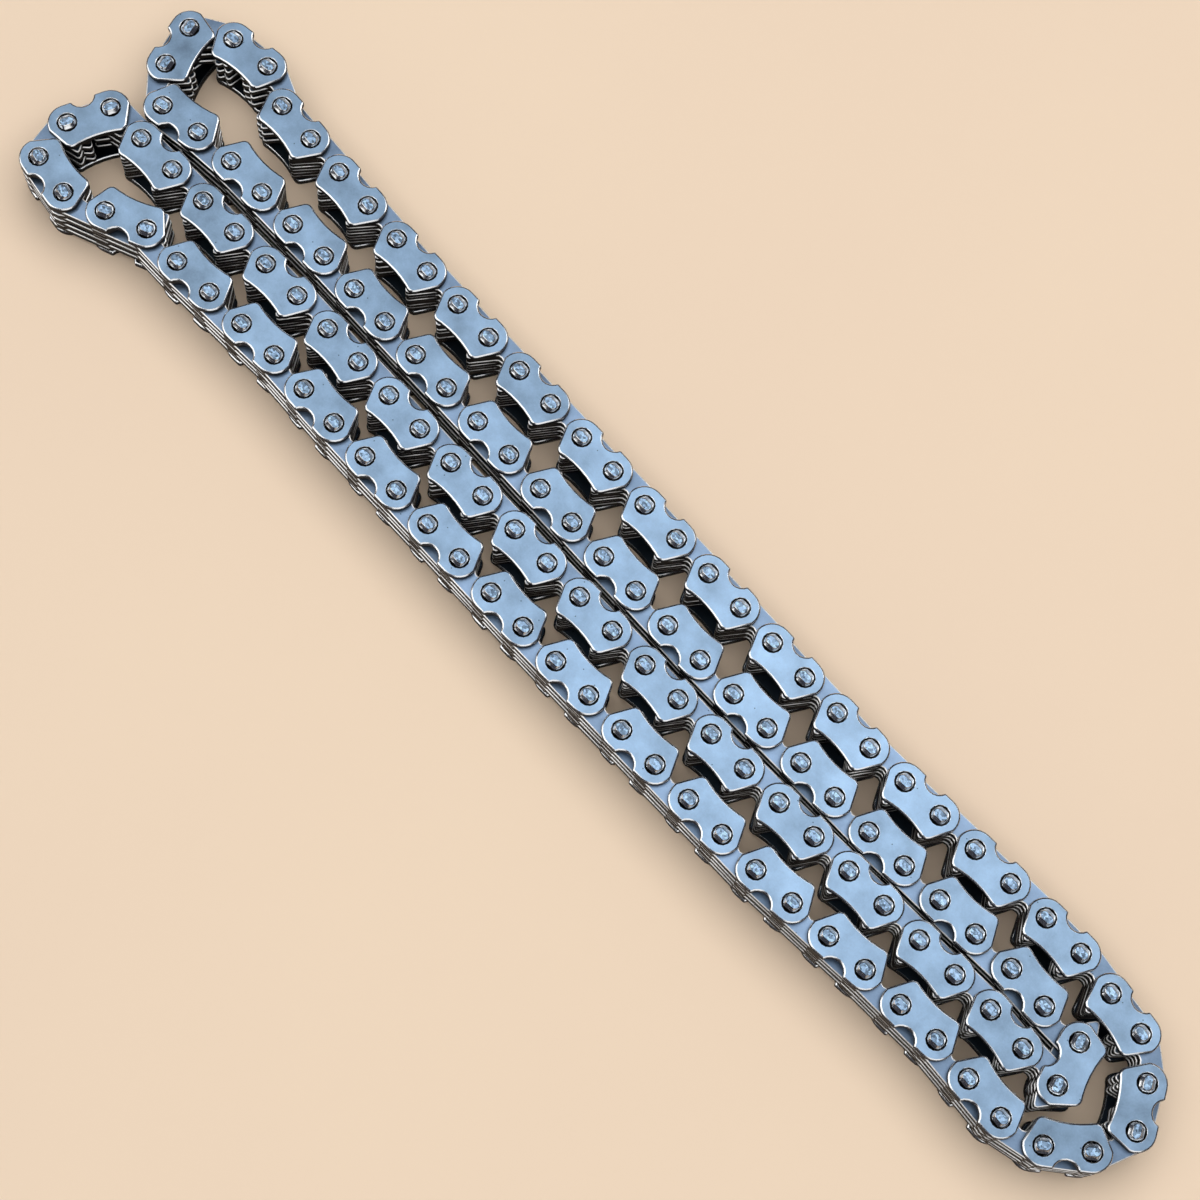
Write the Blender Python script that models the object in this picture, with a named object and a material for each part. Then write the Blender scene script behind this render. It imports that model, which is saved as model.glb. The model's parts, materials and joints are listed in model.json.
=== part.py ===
"""Inverted-tooth timing chain, folded twice and laid flat in four strands.

The chain is endless. Link 0, 2, 4 ... are guide links: two notched guide plates,
three mid plates between them and two riveted pins. Link 1, 3, 5 ... are inner
links: four plates that turn on the pins of the guide links beside them. Link i
runs from pin i to pin i + 1, with its teeth on the right of that direction.

One guide link of the left loop and the two inner links beside it are built plate
by plate, with two separate pins. The other links are lighter: the plates between
the guide plates are one pack per inner link, and the pins have four sides and end
inside the lower guide plate.
"""

import math

import bmesh
import bpy

MM = 0.001

# Lacing, mm: nine layers from the table up, guide, inner, mid, inner and so on
PITCH = 6.35
LACING = "GIMIMIMIG"
PLATE_T = 0.9
PLATE_GAP = 0.1

# Plate outline, mm, measured from the line through the two pins
LOBE_R = 2.78
BACK_CUT = 0.16
TOE_DROP = 3.88
TOE_HALF = 0.245
TOE_ROUND = 0.4
FLANK_ANGLE = -6.0
CROTCH_R = 1.0
GUIDE_HOLLOW = 0.6
NOTCH_FLOOR = 1.48
NOTCH_R = 1.77
SHOULDER_ROUND = 0.3

# Pins, mm: round with two flats along the link, riveted over at the top
PIN_R = 1.25
PIN_FLAT = 0.92
PIN_GAP = 0.1
PIN_HEAD = 0.4
PIN_CHAMFER = 0.2

# Room between the folded strands, mm
TOOTH_ROOM = 0.35
BACK_ROOM = 0.35
LOOP_SPREAD = 2.6

# How the chain lies: runs of (links, heading in degrees), from the photograph
STRAND_A = ((2, 176.0), (2, 182.0), (3, 184.2), (7, 180.4), (6, 179.4), (2, 178.0), (3, 182.5), (1, 180.0))
STRAND_B = ((5, 1.1), (5, -1.0), (9, 0.2), (7, 2.0), (1, -4.0))
STRAND_C = ((1, 177.0), (4, 182.6), (5, 180.7), (12, 179.2), (3, 180.5), (1, 185.0), (1, 189.0))
STRAND_D = ((4, -3.2), (10, -1.0), (5, -1.3), (5, 2.2), (1, 0.4), (2, -7.6))
LOOP_AB = ((1, 172.0), (1, 102.0), (1, 69.0), (1, 1.1))
LOOP_CD = ((1, 135.4), (1, 107.7), (1, 32.2), (1, 7.3))
INNER_BEND = 107.5
OUTER_BEND = (-33.0, -55.0, -109.0, -143.0, -171.0)

LINKS = 126
BEND_ROUNDS = 30
BEND_STEP = 0.001

# Steps of the arcs: plates and pins built one by one are finer than the lighter links
LOBE_STEPS = 2
FINE_LOBE_STEPS = 4
HOLE_SIDES = 6
FINE_HOLE_SIDES = 12
FINE_PIN_STEPS = 4
FILLET_STEPS = 2

# Finishes: colour and roughness
PLATE_STEEL = ((0.30, 0.36, 0.44, 1.0), 0.35)
PIN_STEEL = ((0.42, 0.47, 0.54, 1.0), 0.3)


def arc(centre, radius, start, end, steps):
    """Points on an arc, both ends included; angles in degrees."""
    points = []
    for step in range(steps + 1):
        angle = math.radians(start + (end - start) * step / steps)
        points.append((centre[0] + radius * math.cos(angle), centre[1] + radius * math.sin(angle)))
    return points


def fillet(before, corner, after, radius, steps):
    """The arc that rounds one corner of an outline."""
    to_before = (before[0] - corner[0], before[1] - corner[1])
    to_after = (after[0] - corner[0], after[1] - corner[1])
    angle_before = math.atan2(to_before[1], to_before[0])
    angle_after = math.atan2(to_after[1], to_after[0])
    opening = math.remainder(angle_after - angle_before, 2 * math.pi)
    reach = radius / abs(math.sin(opening / 2))
    middle = angle_before + opening / 2
    centre = (corner[0] + reach * math.cos(middle), corner[1] + reach * math.sin(middle))
    sweep = -math.copysign(math.pi - abs(opening), opening)
    first = angle_before + math.copysign(math.pi / 2, -opening)
    return arc(centre, radius, math.degrees(first), math.degrees(first + sweep), steps)


def mirror(points):
    """The other half of an outline that is even about the middle of the link."""
    return [(-x, y) for x, y in reversed(points)]


def plate_outline(notched, fine):
    """Toothed plate: +x to the next pin, +y to the back; counter-clockwise from the right flank."""
    steps = FINE_LOBE_STEPS if fine else LOBE_STEPS
    lobe_end = 90.0 if notched else math.degrees(math.asin(1 - BACK_CUT / LOBE_R))
    lobe = arc((PITCH / 2, 0.0), LOBE_R, FLANK_ANGLE, lobe_end, steps)
    far_lobe = mirror(lobe)
    notch = notch_outline(steps) if notched else []
    teeth = guide_teeth(steps) if notched else laced_teeth(far_lobe[-1], steps)
    if fine:
        teeth = round_ends(far_lobe[-1], teeth, TOE_ROUND)
    if notched and fine:
        notch = round_ends(lobe[-1], notch, SHOULDER_ROUND)
    return lobe + notch + far_lobe + teeth


def round_ends(before, points, radius):
    """Round the first corner of a symmetrical stretch of outline, and its last to match."""
    first = fillet(before, points[0], points[1], radius, FILLET_STEPS)
    return first + points[1:-1] + mirror(first)


def guide_teeth(steps):
    """The blunt toes of a guide plate and the shallow hollow between them, from left to right."""
    toe = PITCH / 2 + TOE_HALF
    radius = (toe ** 2 + GUIDE_HOLLOW ** 2) / (2 * GUIDE_HOLLOW)
    lean = math.degrees(math.asin(toe / radius))
    centre = (0.0, GUIDE_HOLLOW - TOE_DROP - radius)
    return arc(centre, radius, 90 + lean, 90 - lean, steps)


def laced_teeth(flank, steps):
    """Two teeth, each even about its pin, and the deep round crotch between them, left to right."""
    half = PITCH / 2
    toes = [(-half - TOE_HALF, -TOE_DROP), (TOE_HALF - half, -TOE_DROP)]
    top = (-PITCH - flank[0], flank[1])
    lean = math.atan2(top[0] - toes[1][0], top[1] - toes[1][1])
    offset = top[1] * math.sin(lean) - top[0] * math.cos(lean)
    centre_y = (offset - CROTCH_R) / math.sin(lean)
    end = math.degrees(lean)
    crotch = arc((0.0, centre_y), CROTCH_R, 180 - end, end, steps)
    return toes + crotch + mirror(toes)


def notch_outline(steps):
    """The round notch in the back of a guide plate, from right to left."""
    centre_y = NOTCH_FLOOR + NOTCH_R
    shoulder = math.degrees(math.asin((LOBE_R - centre_y) / NOTCH_R))
    return arc((0.0, centre_y), NOTCH_R, shoulder, -180 - shoulder, steps + 1)


def pin_outline(fine):
    """Round pin with two flats, each flat along the link."""
    lean = math.degrees(math.asin(PIN_FLAT / PIN_R))
    side = arc((0.0, 0.0), PIN_R, -lean, lean, FINE_PIN_STEPS if fine else 1)
    return side + [(-x, -y) for x, y in side]


def hole_outline(fine):
    """Round hole that clears a turning pin: its sides touch the true circle."""
    sides = FINE_HOLE_SIDES if fine else HOLE_SIDES
    radius = (PIN_R + PIN_GAP) / math.cos(math.pi / sides)
    return arc((0.0, 0.0), radius, 0.0, 360.0 - 360.0 / sides, sides - 1)


def layer_floor(layer):
    return layer * (PLATE_T + PLATE_GAP)


STACK_TOP = layer_floor(len(LACING) - 1) + PLATE_T


def rise(headings):
    """How far a run of links climbs across the strands."""
    return PITCH * sum(math.sin(math.radians(heading)) for heading in headings)


def unroll(runs):
    return [heading for count, heading in runs for _ in range(count)]


def belly(spread, links, others):
    """Slope of the links that let a loop bulge so that it joins two strands a given spread apart."""
    return math.degrees(math.asin((spread - rise(others)) / (links * PITCH)))


def close_bend(headings, gap):
    """Spread and turn the headings of the outer bend until its links span the gap between the strands."""
    middle = sum(headings) / len(headings)
    spread = 1.0
    turn = 0.0
    for _ in range(BEND_ROUNDS):
        trial = [middle + turn + spread * (heading - middle) for heading in headings]
        miss = gap - span(trial)
        by_turn = span([heading + BEND_STEP for heading in trial]) - span(trial)
        wider = [middle + turn + (spread + BEND_STEP) * (heading - middle) for heading in headings]
        by_spread = span(wider) - span(trial)
        det = by_turn.real * by_spread.imag - by_turn.imag * by_spread.real
        turn += BEND_STEP * (miss.real * by_spread.imag - miss.imag * by_spread.real) / det
        spread += BEND_STEP * (by_turn.real * miss.imag - by_turn.imag * miss.real) / det
    return [middle + turn + spread * (heading - middle) for heading in headings]


def span(headings):
    """End-to-end vector of a run of links, as a complex number."""
    return sum(
        PITCH * complex(math.cos(math.radians(h)), math.sin(math.radians(h))) for h in headings
    )


def lay_headings():
    """Heading of every link, link 0 first, in a closed loop."""
    loop_ab = unroll(LOOP_AB)
    tooth_lane = 2 * TOE_DROP + TOOTH_ROOM
    belly_ab = 180.0 - belly(tooth_lane, 2, loop_ab[:3])
    back_lane = 2 * LOBE_R + BACK_ROOM
    flare = belly(back_lane, 2, [INNER_BEND])
    loop_cd = unroll(LOOP_CD)
    strand_c = unroll(STRAND_C)
    belly_cd = belly(tooth_lane + LOOP_SPREAD, 1, strand_c[-2:] + loop_cd)
    forward = loop_ab + unroll(STRAND_B) + [flare, INNER_BEND, 180.0 - flare] + strand_c
    forward += loop_cd + [belly_cd] + unroll(STRAND_D)
    backward = unroll(STRAND_A) + [belly_ab, belly_ab]
    bend = close_bend(OUTER_BEND, -span(forward) - span(backward))
    return forward + bend + backward


def lay_pins():
    """Centre of every pin, pin 0 first, about the middle of the whole chain."""
    headings = lay_headings()
    assert len(headings) == LINKS
    pins = [0j]
    for heading in headings[:-1]:
        pins.append(pins[-1] + span([heading]))
    corners = []
    for link, heading in enumerate(headings):
        corners += place(plate_outline(link % 2 == 0, False), pins[link], heading)
    middle_x = (min(x for x, y in corners) + max(x for x, y in corners)) / 2
    middle_y = (min(y for x, y in corners) + max(y for x, y in corners)) / 2
    return [pin - complex(middle_x, middle_y) for pin in pins], headings


def place(points, pin, heading, along=PITCH / 2):
    """Move outline points from a link's own frame to the table."""
    turn = complex(math.cos(math.radians(heading)), math.sin(math.radians(heading)))
    moved = [pin + turn * complex(x + along, y) for x, y in points]
    return [(point.real, point.imag) for point in moved]


def add_prism(mesh, outline, holes, floor, top, chamfer=0.0):
    """Extrude an outline with holes; a chamfer draws the upper end in."""
    rings = []
    for ring in [outline] + holes:
        rings.append([mesh.verts.new((x * MM, y * MM, floor * MM)) for x, y in ring])
    if holes:
        edges = [mesh.edges.new((verts[i - 1], verts[i])) for verts in rings for i in range(len(verts))]
        filled = bmesh.ops.triangle_fill(mesh, use_beauty=True, use_dissolve=False, edges=edges)
        faces = [item for item in filled["geom"] if isinstance(item, bmesh.types.BMFace)]
    else:
        faces = [mesh.faces.new(rings[0])]
    grown = bmesh.ops.extrude_face_region(mesh, geom=faces, use_keep_orig=True)
    raised = [item for item in grown["geom"] if isinstance(item, bmesh.types.BMVert)]
    bmesh.ops.translate(mesh, verts=raised, vec=(0.0, 0.0, (top - chamfer - floor) * MM))
    if chamfer:
        lid = [item for item in grown["geom"] if isinstance(item, bmesh.types.BMFace)]
        bmesh.ops.inset_region(mesh, faces=lid, thickness=chamfer * MM, use_even_offset=True)
        rim = {vert for face in lid for vert in face.verts}
        bmesh.ops.translate(mesh, verts=list(rim), vec=(0.0, 0.0, chamfer * MM))


def finished_mesh(name, mesh, origin):
    """Recalculate outward faces and store the mesh about its body's pin."""
    bmesh.ops.recalc_face_normals(mesh, faces=mesh.faces)
    bmesh.ops.translate(mesh, verts=mesh.verts, vec=(-origin.real * MM, -origin.imag * MM, 0.0))
    data = bpy.data.meshes.new(name)
    mesh.to_mesh(data)
    mesh.free()
    return data


def material(name, finish):
    colour, roughness = finish
    steel = bpy.data.materials.new(name)
    steel.use_nodes = True
    surface = steel.node_tree.nodes["Principled BSDF"]
    surface.inputs["Base Color"].default_value = colour
    surface.inputs["Roughness"].default_value = roughness
    surface.inputs["Metallic"].default_value = 1.0
    return steel


class Chain:
    """The laid chain, and the tree of pivots that its pieces hang from."""

    def __init__(self):
        self.pins, self.headings = lay_pins()
        self.pivots = {}
        self.anchors = {}

    def pivot(self, body, parent, pin):
        """An empty on the pin that a body turns about."""
        empty = bpy.data.objects.new(f"pivot_{body}", None)
        empty.hide_render = True
        bpy.context.scene.collection.objects.link(empty)
        anchor = self.pins[pin % LINKS]
        start = 0j
        if parent:
            empty.parent = self.pivots[parent]
            start = self.anchors[parent]
        offset = anchor - start
        empty.location = (offset.real * MM, offset.imag * MM, 0.0)
        self.pivots[body] = empty
        self.anchors[body] = anchor

    def add(self, name, body, data, finish):
        piece = bpy.data.objects.new(name, data)
        bpy.context.scene.collection.objects.link(piece)
        piece.parent = self.pivots[body]
        data.materials.append(material(f"{name}_steel", finish))
        return piece

    def outline(self, points, link, along=PITCH / 2):
        return place(points, self.pins[link % LINKS], self.headings[link % LINKS], along)

    def plate(self, name, body, link, layer):
        """One separate plate, with both its holes."""
        mesh = bmesh.new()
        shape = self.outline(plate_outline(LACING[layer] == "G", True), link)
        holes = [self.outline(hole_outline(True), link, along) for along in (0.0, PITCH)]
        floor = layer_floor(layer)
        add_prism(mesh, shape, holes, floor, floor + PLATE_T)
        self.add(name, body, finished_mesh(name, mesh, self.anchors[body]), PLATE_STEEL)

    def inner_plates(self, name, body, link):
        """The four plates of one inner link."""
        layers = [layer for layer, kind in enumerate(LACING) if kind == "I"]
        for count, layer in enumerate(layers, start=1):
            self.plate(f"{name}_{count}", body, link, layer)

    def pin(self, name, body, link, end):
        """One separate pin, chamfered at its riveted top."""
        mesh = bmesh.new()
        shape = self.outline(pin_outline(True), link, end * PITCH)
        add_prism(mesh, shape, [], 0.0, STACK_TOP + PIN_HEAD, PIN_CHAMFER)
        self.add(name, body, finished_mesh(name, mesh, self.anchors[body]), PIN_STEEL)

    def joined_links(self, name, body, first, last, open_pin=None):
        """A run of links as one solid: guide plates and inner packs carried by their pins."""
        plates = bmesh.new()
        pins = bmesh.new()
        inner_floor = layer_floor(1)
        inner_top = layer_floor(len(LACING) - 2) + PLATE_T
        guide_floor = layer_floor(len(LACING) - 1)
        for link in range(first, last + 1):
            if link % 2 == 0:
                shape = self.outline(plate_outline(True, False), link)
                add_prism(plates, shape, [], 0.0, PLATE_T)
                add_prism(plates, shape, [], guide_floor, STACK_TOP)
                for end in (0, 1):
                    foot = guide_floor if link + end == open_pin else 0.0
                    shape = self.outline(pin_outline(False), link, end * PITCH)
                    add_prism(pins, shape, [], foot + PLATE_T / 2, STACK_TOP + PIN_HEAD)
            else:
                shape = self.outline(plate_outline(False, False), link)
                holes = []
                if link == first:
                    holes.append(self.outline(hole_outline(False), link, 0.0))
                if link == last:
                    holes.append(self.outline(hole_outline(False), link, PITCH))
                add_prism(plates, shape, holes, inner_floor, inner_top)
        data = finished_mesh(name, plates, self.anchors[body])
        piece = self.add(name, body, data, PLATE_STEEL)
        if not pins.verts:
            pins.free()
            return
        tool = bpy.data.objects.new(f"{name}_pins", finished_mesh(f"{name}_pins", pins, self.anchors[body]))
        bpy.context.scene.collection.objects.link(tool)
        tool.parent = self.pivots[body]
        tool.hide_render = True
        tool.display_type = "WIRE"
        join = piece.modifiers.new("rivet", "BOOLEAN")
        join.operation = "UNION"
        join.solver = "EXACT"
        join.object = tool


def clear_scene():
    for item in list(bpy.data.objects):
        bpy.data.objects.remove(item, do_unlink=True)


def build_resting_strands(chain):
    """Strands B and C and the inner bend lie between the others and stay put."""
    chain.pivot("resting_strands", None, 4)
    for run, first in enumerate((3, 11, 19), start=1):
        chain.joined_links(f"strand_b_run_{run}", "resting_strands", first, first + 7)
    chain.joined_links("inner_bend_run", "resting_strands", 27, 32)
    for run, first in enumerate((33, 41, 49), start=1):
        chain.joined_links(f"strand_c_run_{run}", "resting_strands", first, first + 7)
    chain.joined_links("strand_c_run_4", "resting_strands", 57, 60)


def build_loop_ab(chain):
    """The left loop from strand B round to strand A, with two links plate by plate."""
    chain.pivot("loop_ab_link_1", "resting_strands", 3)
    chain.joined_links("loop_ab_guide_link_1", "loop_ab_link_1", 2, 2)
    chain.pivot("loop_ab_link_2", "loop_ab_link_1", 2)
    chain.inner_plates("loop_ab_front_inner_plate", "loop_ab_link_2", 1)
    chain.pivot("loop_ab_link_3", "loop_ab_link_2", 1)
    chain.plate("loop_ab_guide_plate_bottom", "loop_ab_link_3", 0, 0)
    chain.plate("loop_ab_guide_plate_top", "loop_ab_link_3", 0, len(LACING) - 1)
    mid_layers = [layer for layer, kind in enumerate(LACING) if kind == "M"]
    for count, layer in enumerate(mid_layers, start=1):
        chain.plate(f"loop_ab_mid_plate_{count}", "loop_ab_link_3", 0, layer)
    chain.pin("loop_ab_pin_1", "loop_ab_link_3", 0, 1)
    chain.pin("loop_ab_pin_2", "loop_ab_link_3", 0, 0)
    chain.pivot("loop_ab_link_4", "loop_ab_link_3", 0)
    chain.inner_plates("loop_ab_rear_inner_plate", "loop_ab_link_4", 125)


def build_strand_a(chain):
    """Fourteen pairs from the left loop to the open pivot, then the last guide link."""
    parent = "loop_ab_link_4"
    for count, link in enumerate(range(124, 96, -2), start=1):
        body = f"strand_a_pair_{count:02d}"
        chain.pivot(body, parent, link + 1)
        chain.joined_links(f"{body}_links", body, link - 1, link)
        parent = body
    chain.pivot("strand_a_end", parent, 97)
    chain.joined_links("strand_a_end_guide_link", "strand_a_end", 96, 96, open_pin=96)


def build_loop_cd(chain):
    """The upper loop from strand C round to strand D, one link at a time."""
    parent = "resting_strands"
    for count, link in enumerate(range(61, 66), start=1):
        body = f"loop_cd_link_{count}"
        kind = "guide_link" if link % 2 == 0 else "inner_pack"
        chain.pivot(body, parent, link)
        chain.joined_links(f"loop_cd_{kind}_{count}", body, link, link)
        parent = body


def build_strand_d(chain):
    """Fourteen pairs from the upper loop to the outer bend, then its last two links."""
    parent = "loop_cd_link_5"
    for count, link in enumerate(range(66, 94, 2), start=1):
        body = f"strand_d_pair_{count:02d}"
        chain.pivot(body, parent, link)
        chain.joined_links(f"{body}_links", body, link, link + 1)
        parent = body
    chain.pivot("outer_bend_link_1", parent, 94)
    chain.joined_links("outer_bend_guide_link", "outer_bend_link_1", 94, 94)
    chain.pivot("outer_bend_link_2", "outer_bend_link_1", 95)
    chain.joined_links("outer_bend_inner_pack", "outer_bend_link_2", 95, 95)


def main():
    clear_scene()
    chain = Chain()
    build_resting_strands(chain)
    build_loop_ab(chain)
    build_strand_a(chain)
    build_loop_cd(chain)
    build_strand_d(chain)


if __name__ == "__main__":
    main()
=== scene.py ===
"""Looks of a folded inverted-tooth timing chain: every plate and pin of its 126 links.

The chain is endless. Even links are guide links: two notched guide plates outside,
three mid plates between them and two riveted pins. Odd links are inner links of four
plates. Link i runs from pin i to pin i + 1, with its teeth on the right.
"""

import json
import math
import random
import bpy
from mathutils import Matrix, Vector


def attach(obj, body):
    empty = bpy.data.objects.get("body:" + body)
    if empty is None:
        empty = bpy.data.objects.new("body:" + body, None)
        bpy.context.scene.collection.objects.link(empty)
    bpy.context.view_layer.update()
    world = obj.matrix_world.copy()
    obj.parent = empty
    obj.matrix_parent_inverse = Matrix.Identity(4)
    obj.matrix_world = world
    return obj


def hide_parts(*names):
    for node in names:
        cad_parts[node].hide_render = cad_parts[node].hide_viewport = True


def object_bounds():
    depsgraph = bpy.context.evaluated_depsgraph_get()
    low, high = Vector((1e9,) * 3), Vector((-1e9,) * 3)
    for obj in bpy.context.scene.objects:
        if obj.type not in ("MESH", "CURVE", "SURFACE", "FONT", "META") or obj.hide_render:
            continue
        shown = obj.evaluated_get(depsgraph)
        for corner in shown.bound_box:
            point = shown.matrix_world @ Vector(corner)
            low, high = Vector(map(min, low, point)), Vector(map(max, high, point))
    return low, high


bl_info = {
    "name": "Folded Timing Chain",
    "version": (1, 0, 0),
    "blender": (4, 5, 0),
    "location": "View3D > Sidebar > Timing Chain",
    "description": "Dresses the packed chain with its laced plates, riveted pins and studio",
    "category": "Add Mesh",
}

import bmesh
import bpy
from mathutils import Euler, Matrix, Quaternion, Vector

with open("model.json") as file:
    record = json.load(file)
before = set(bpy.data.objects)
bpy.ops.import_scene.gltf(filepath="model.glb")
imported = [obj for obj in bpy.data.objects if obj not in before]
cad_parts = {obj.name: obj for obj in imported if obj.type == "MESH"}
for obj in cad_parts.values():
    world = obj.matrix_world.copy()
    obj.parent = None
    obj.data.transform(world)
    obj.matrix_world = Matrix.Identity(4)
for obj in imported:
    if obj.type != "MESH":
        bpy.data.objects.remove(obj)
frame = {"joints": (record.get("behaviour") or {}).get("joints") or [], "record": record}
CAD_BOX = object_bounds()
HINGES = {joint["child"]: Vector(joint["pos_m"]) for joint in frame["joints"]}
NODE_BODIES = {
    node: body for body, nodes in frame["record"]["behaviour"]["bodies"].items() for node in nodes
}

MM = 0.001
# Layers of the lacing from the table up, and the kind of plate that each letter stands for
LACING = "GIMIMIMIG"
KINDS = {"G": "guide_plates", "M": "mid_plates", "I": "inner_plates"}
# Material slots of every plate and pin
FACE, RIM, SIDE = range(3)

# Lie of the chain: runs of (links, heading in degrees), strand by strand
STRAND_A = ((2, 176.0), (2, 182.0), (3, 184.2), (7, 180.4), (6, 179.4), (2, 178.0), (3, 182.5), (1, 180.0))
STRAND_B = ((5, 1.1), (5, -1.0), (9, 0.2), (7, 2.0), (1, -4.0))
STRAND_C = ((1, 177.0), (4, 182.6), (5, 180.7), (12, 179.2), (3, 180.5), (1, 185.0), (1, 189.0))
STRAND_D = ((4, -3.2), (10, -1.0), (5, -1.3), (5, 2.2), (1, 0.4), (2, -7.6))
LOOP_AB = ((1, 172.0), (1, 102.0), (1, 69.0), (1, 1.1))
LOOP_CD = ((1, 135.4), (1, 107.7), (1, 32.2), (1, 7.3))
INNER_BEND = 107.5
OUTER_BEND = (-33.0, -55.0, -109.0, -143.0, -171.0)
# Pitch in mm, and from strand to strand: teeth to teeth, back to back, and what the last loop has more
ROUTE_PITCH = 6.35
TOOTH_LANE = 8.11
BACK_LANE = 5.91
LOOP_SPREAD = 2.6
HALF_PITCH = ROUTE_PITCH * MM / 2
# The outer bend is closed by this many rounds of Newton's method, with this step for its slopes
BEND_ROUNDS = 30
BEND_STEP = 0.001

# Angle in degrees at which a flank runs into its lobe
FLANK_ANGLE = -6.0
# Steps of the arcs of an outline, and sides of the holes and pins
GUIDE_LOBE_STEPS = 7
LACED_LOBE_STEPS = 4
NOTCH_STEPS = 8
HOLLOW_STEPS = 6
CROTCH_STEPS = 4
ROUND_STEPS = 3
TOE_STEPS = 1
GUIDE_HOLE_SIDES = 14
LACED_HOLE_SIDES = 8
PIN_SIDES = 20

# Rolled rim from the side up: how far in and up each facet goes, in shares of its height, and its slot
RIM_FACETS = ((0.10, 0.30, SIDE), (0.32, 0.36, RIM), (0.76, 0.34, RIM))
# A hole's rim is this share as wide, and takes the points within this many hole radii of the pin
HOLE_RIM_SHARE = 0.5
HOLE_RIM_REACH = 1.4
# Head of a pin: first draw-in as a share of the slope, and how much shorter the bar gets on the way up
SLOPE_EASE = 0.1
BAR_SHRINK = 0.97
# Shoulder of a pin: how far in and up each facet goes, and the draw-in of the mark, in shares of its chamfer
SHOULDER_FACETS = ((0.45, 0.65), (0.55, 0.35))
MARK_INSET = 0.4
# An edge between faces that meet at less than this is shaded smooth
SMOOTH_LIMIT = math.radians(31.5)

# Painted sheen: tone of the copies, about 0 to 1, brightest at one place along X where the lamps' reflection
# on the faces is strongest, falling per metre on either side of it
SHEEN_X = 45.0 * MM
SHEEN_TONE = 0.9
SHEEN_RISE = 5.4
SHEEN_FALL = 14.0
CHANCE_SHARE = 0.25

# Finishes: sockets of the shared node group, and the gloss where metal is 0, as on the near-black sides
# whose dark is partly painted shade
FINISH_DEFAULTS = {
    "Variation": 0.1,
    "Mottle": 0.0,
    "Grain": 3500.0,
    "Polish": 0.3,
    "Spread": 0.15,
    # Share of painted shade on the deep layers
    "Depth": 0.0,
    "Specks": 0.0,
}
NONMETAL_GLOSS = 0.12
# Clouds on the steel, in cells per metre, and how much they and the fine grain change its tone
CLOUD_SCALE = 260.0
CLOUD_SHARE = 1.6
GRAIN_SHARE = 0.2
# Heights between which the painted shade of the deep layers fades: darkened below the first, untouched above
# the second
SHADED_HEIGHT = 5.4 * MM
LIT_HEIGHT = 7.9 * MM
# Specks: cells per metre, radius in cells, and the share of the cells that have none
SPECK_SCALE = 230.0
SPECK_RADIUS = 0.022
SPECK_RARITY = 0.6

# Table: half its side and its distance under the chain, in metres, then its blotches and their two tints
TABLE_HALF = 1.6
TABLE_GAP = 0.02 * MM
TABLE_ROUGHNESS = 0.75
TABLE_GLOSS = 0.2
BLOTCH_SCALE = 9.0
DULL_TINT = (0.96, 0.95, 0.97)
CLEAR_TINT = (1.03, 1.04, 1.03)

# Lamps: distance in metres, then colour, size in metres, and bearing and height in degrees of each
LAMP_DISTANCE = 1.2
OVERHEAD = ((1.0, 0.98, 0.96), (1.8, 1.8), 92.0, 84.0)
CARDS = {
    "window": ((1.0, 0.98, 0.95), (0.8, 0.8), 82.0, 46.0),
    "ceiling": ((0.86, 0.93, 1.0), (1.3, 1.3), 110.0, 78.0),
    "left": ((1.0, 0.99, 0.97), (1.2, 1.4), 228.0, 48.0),
    "low": ((1.0, 0.99, 0.97), (0.9, 0.9), 325.0, 44.0),
}
# World: what the camera sees past the table, what the steel reflects, and the tint of the fill
WALL_COLOUR = (0.76, 0.83, 0.91)
ROOM_COLOUR = (0.03, 0.03, 0.04)
FILL_TINT = (1.0, 0.98, 0.95)

# Lowest link of each CAD run, and how many links it holds
RUNS = {
    "strand_b_run_1": (3, 8), "strand_b_run_2": (11, 8), "strand_b_run_3": (19, 8),
    "inner_bend_run": (27, 6), "strand_c_run_1": (33, 8), "strand_c_run_2": (41, 8),
    "strand_c_run_3": (49, 8), "strand_c_run_4": (57, 4), "loop_ab_guide_link_1": (2, 1),
    "strand_a_end_guide_link": (96, 1), "loop_cd_inner_pack_1": (61, 1),
    "loop_cd_guide_link_2": (62, 1), "loop_cd_inner_pack_3": (63, 1),
    "loop_cd_guide_link_4": (64, 1), "loop_cd_inner_pack_5": (65, 1),
    "outer_bend_guide_link": (94, 1), "outer_bend_inner_pack": (95, 1),
}
PAIRS = 14
# First link of each row of pairs; strand A's run backwards along the chain
STRAND_A_FIRST = 123
STRAND_D_FIRST = 66
# The open pivot: the first pin of this link is only a stub in each guide plate
STUB_PIN = 96


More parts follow.
